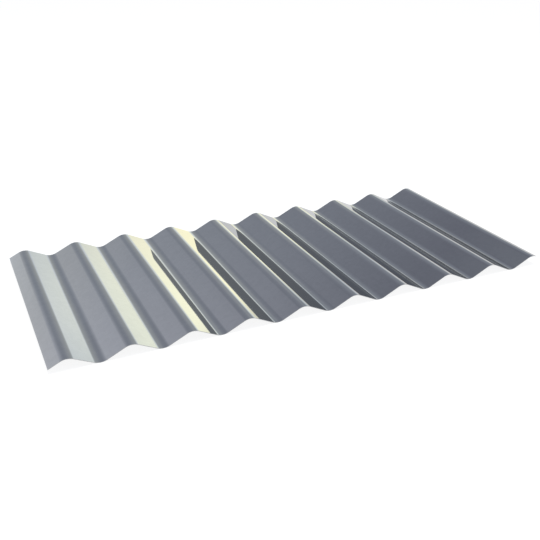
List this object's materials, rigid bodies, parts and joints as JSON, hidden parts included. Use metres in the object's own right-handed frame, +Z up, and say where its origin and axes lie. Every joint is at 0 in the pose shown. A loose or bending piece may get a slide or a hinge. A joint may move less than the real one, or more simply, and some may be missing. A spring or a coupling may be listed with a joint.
{
  "type": "corrugated metal sheet",
  "caption": "Oblong galvanised steel sheet with even round-bottomed waves across it, cut square at the ends, for roofing or siding.",
  "frame": {"origin": "on the surface the valleys rest on, under the middle of the sheet's outline", "axes": "+X across the waves, +Y along the crests and valleys, +Z up out of the sheet"},
  "size_m": [0.6354, 0.3, 0.0133],
  "materials": {
    "galvanised_steel": "smooth hot-dip zinc, clean, with a soft gloss"
  },
  "bodies": {
    "root": {"corrugated_sheet": "galvanised_steel"}
  },
  "joints": []
}
